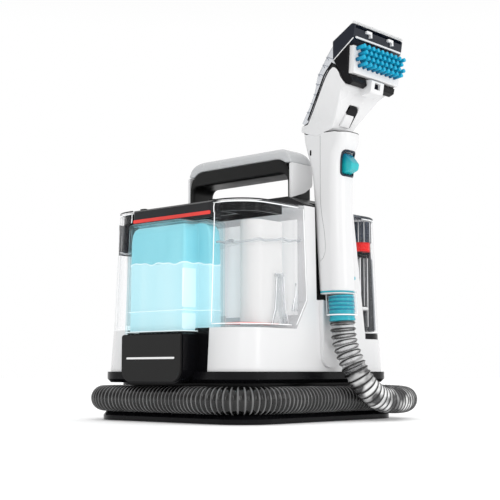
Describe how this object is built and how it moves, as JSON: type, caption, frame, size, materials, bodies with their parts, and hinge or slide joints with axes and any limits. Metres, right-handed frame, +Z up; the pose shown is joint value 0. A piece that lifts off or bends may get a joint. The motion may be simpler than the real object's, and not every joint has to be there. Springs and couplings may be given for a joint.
{
  "type": "carpet cleaner machine",
  "caption": "Portable spot cleaner with clear water tanks front and rear, a carry handle, a wrapped suction hose and a docked hand wand with a brush head.",
  "frame": {"origin": "centre of the base plate's underside, where the machine stands", "axes": "+Z up, the front with the nose and badge faces -Y, the wand hangs on the +X side"},
  "size_m": [0.3461, 0.3283, 0.4501],
  "materials": {
    "black_gloss": "glossy moulded black",
    "black_matte": "fine-textured black",
    "white_gloss": "glossy white moulding",
    "dark_grey": "satin dark grey",
    "bar_grey": "satin mid grey",
    "rule_white": "printed thin line",
    "stripe_red": "red trim",
    "float_red": "red float",
    "clear": "clear tank plastic",
    "clear_blue": "clear chamber with blue formula",
    "smoke": "dark translucent nozzle",
    "pale_core": "pale moulded inner wall",
    "rubber": "soft black rubber",
    "teal": "teal moulding",
    "bristle_teal": "teal nylon bristle",
    "hose_smoke": "ribbed dark translucent hose",
    "handle_white": "silver-white top shell",
    "steel": "plated steel",
    "motor": "motor can",
    "inner_dark": "dark baffle"
  },
  "bodies": {
    "root": {"badge_plate": "dark_grey", "badge_rule": "rule_white", "base_plate": "black_gloss", "base_screws": "steel", "channel_wall": "black_matte", "cord_inlet": "rubber", "dock_cradle": "white_gloss", "dock_hook": "black_matte", "dock_liner": "black_matte", "fan_housing": "black_matte", "foot_pads": "rubber", "front_panel": "black_gloss", "handle_ends": "white_gloss", "handle_grip": "black_matte", "handle_shell": "handle_white", "hose": "hose_smoke", "hose_outlet": "black_matte", "lower_casing": "white_gloss", "motor_mount": "black_matte", "nose_housing": "black_gloss", "skirt": "black_gloss", "spine_cap": "dark_grey", "spine_casing": "white_gloss", "suction_motor": "motor", "water_pump": "black_matte"},
    "clean_tank": {"clean_tank": "clear", "tank_valve": "black_matte", "tank_core": "pale_core", "formula_chamber": "clear_blue", "formula_cap": "black_matte"},
    "clean_lid": {"tank_lid": "clear", "lid_skirt": "black_gloss", "lid_bar": "bar_grey", "bar_stripe": "stripe_red", "lid_catches": "black_matte"},
    "dirty_tank": {"dirty_tank": "clear", "dirty_tank_foot": "black_gloss", "standpipes": "clear", "separator": "inner_dark", "float_guide": "black_matte"},
    "dirty_lid": {"dirty_lid": "clear"},
    "float": {"float_ring": "float_red"},
    "impeller": {"impeller": "black_matte"},
    "power_button": {"power_button": "black_matte"},
    "wand": {"wand_back_shell": "white_gloss", "wand_front_shell": "white_gloss", "wand_sleeve": "clear", "trigger_pin": "steel", "spray_valve": "black_matte"},
    "collar": {"wand_collar": "teal"},
    "trigger": {"trigger": "teal"},
    "head": {"head_housing": "white_gloss", "nozzle_cover": "clear", "nozzle_mouth": "smoke", "lip_trim": "white_gloss"},
    "head_release": {"head_release": "black_gloss"},
    "brush": {"brush_plate": "white_gloss", "bristles": "bristle_teal", "brush_cassette": "black_gloss", "head_lug": "white_gloss"}
  },
  "joints": [
    {"name": "clean_tank_lift", "type": "slide", "parent": "root", "child": "clean_tank", "axis": [0, -0.04, 0.9992], "range_m": [0, 0.12]},
    {"name": "clean_lid_hinge", "type": "hinge", "parent": "clean_tank", "child": "clean_lid", "pos_m": [0, -0.03179, 0.246], "axis": [-1, 0, 0], "range_deg": [0, 75]},
    {"name": "dirty_tank_lift", "type": "slide", "parent": "root", "child": "dirty_tank", "axis": [0, 0, 1], "range_m": [0, 0.12]},
    {"name": "dirty_lid_hinge", "type": "hinge", "parent": "dirty_tank", "child": "dirty_lid", "pos_m": [0, 0.06749, 0.246], "axis": [1, 0, 0], "range_deg": [0, 75]},
    {"name": "float_rise", "type": "slide", "parent": "dirty_tank", "child": "float", "axis": [0, 0, 1], "range_m": [0, 0.018]},
    {"name": "impeller_spin", "type": "hinge", "parent": "root", "child": "impeller", "pos_m": [-0.038, 0.022, 0.088], "axis": [0, 0, 1], "continuous": true},
    {"name": "power_button_press", "type": "slide", "parent": "root", "child": "power_button", "axis": [0, 0, -1], "range_m": [0, 0.0025], "stiffness_N_per_m": 400},
    {"name": "wand_lift", "type": "slide", "parent": "root", "child": "wand", "axis": [0, 0, 1], "range_m": [0, 0.07]},
    {"name": "collar_swivel", "type": "hinge", "parent": "wand", "child": "collar", "pos_m": [0.135, 0.0125, 0.13], "axis": [-0.0529, 0, 0.9986], "continuous": true},
    {"name": "trigger_pull", "type": "hinge", "parent": "wand", "child": "trigger", "pos_m": [0.141, 0.0125, 0.307], "axis": [0, 1, 0], "range_deg": [0, 10], "stiffness_Nm_per_rad": 0.3},
    {"name": "head_lift", "type": "slide", "parent": "wand", "child": "head", "axis": [0, 0, 1], "range_m": [0, 0.03]},
    {"name": "head_release_press", "type": "slide", "parent": "head", "child": "head_release", "axis": [-1, 0, 0], "range_m": [0, 0.0015], "stiffness_N_per_m": 300},
    {"name": "brush_slide", "type": "slide", "parent": "head", "child": "brush", "axis": [0.9979, 0, -0.0644], "range_m": [0, 0.02]}
  ]
}
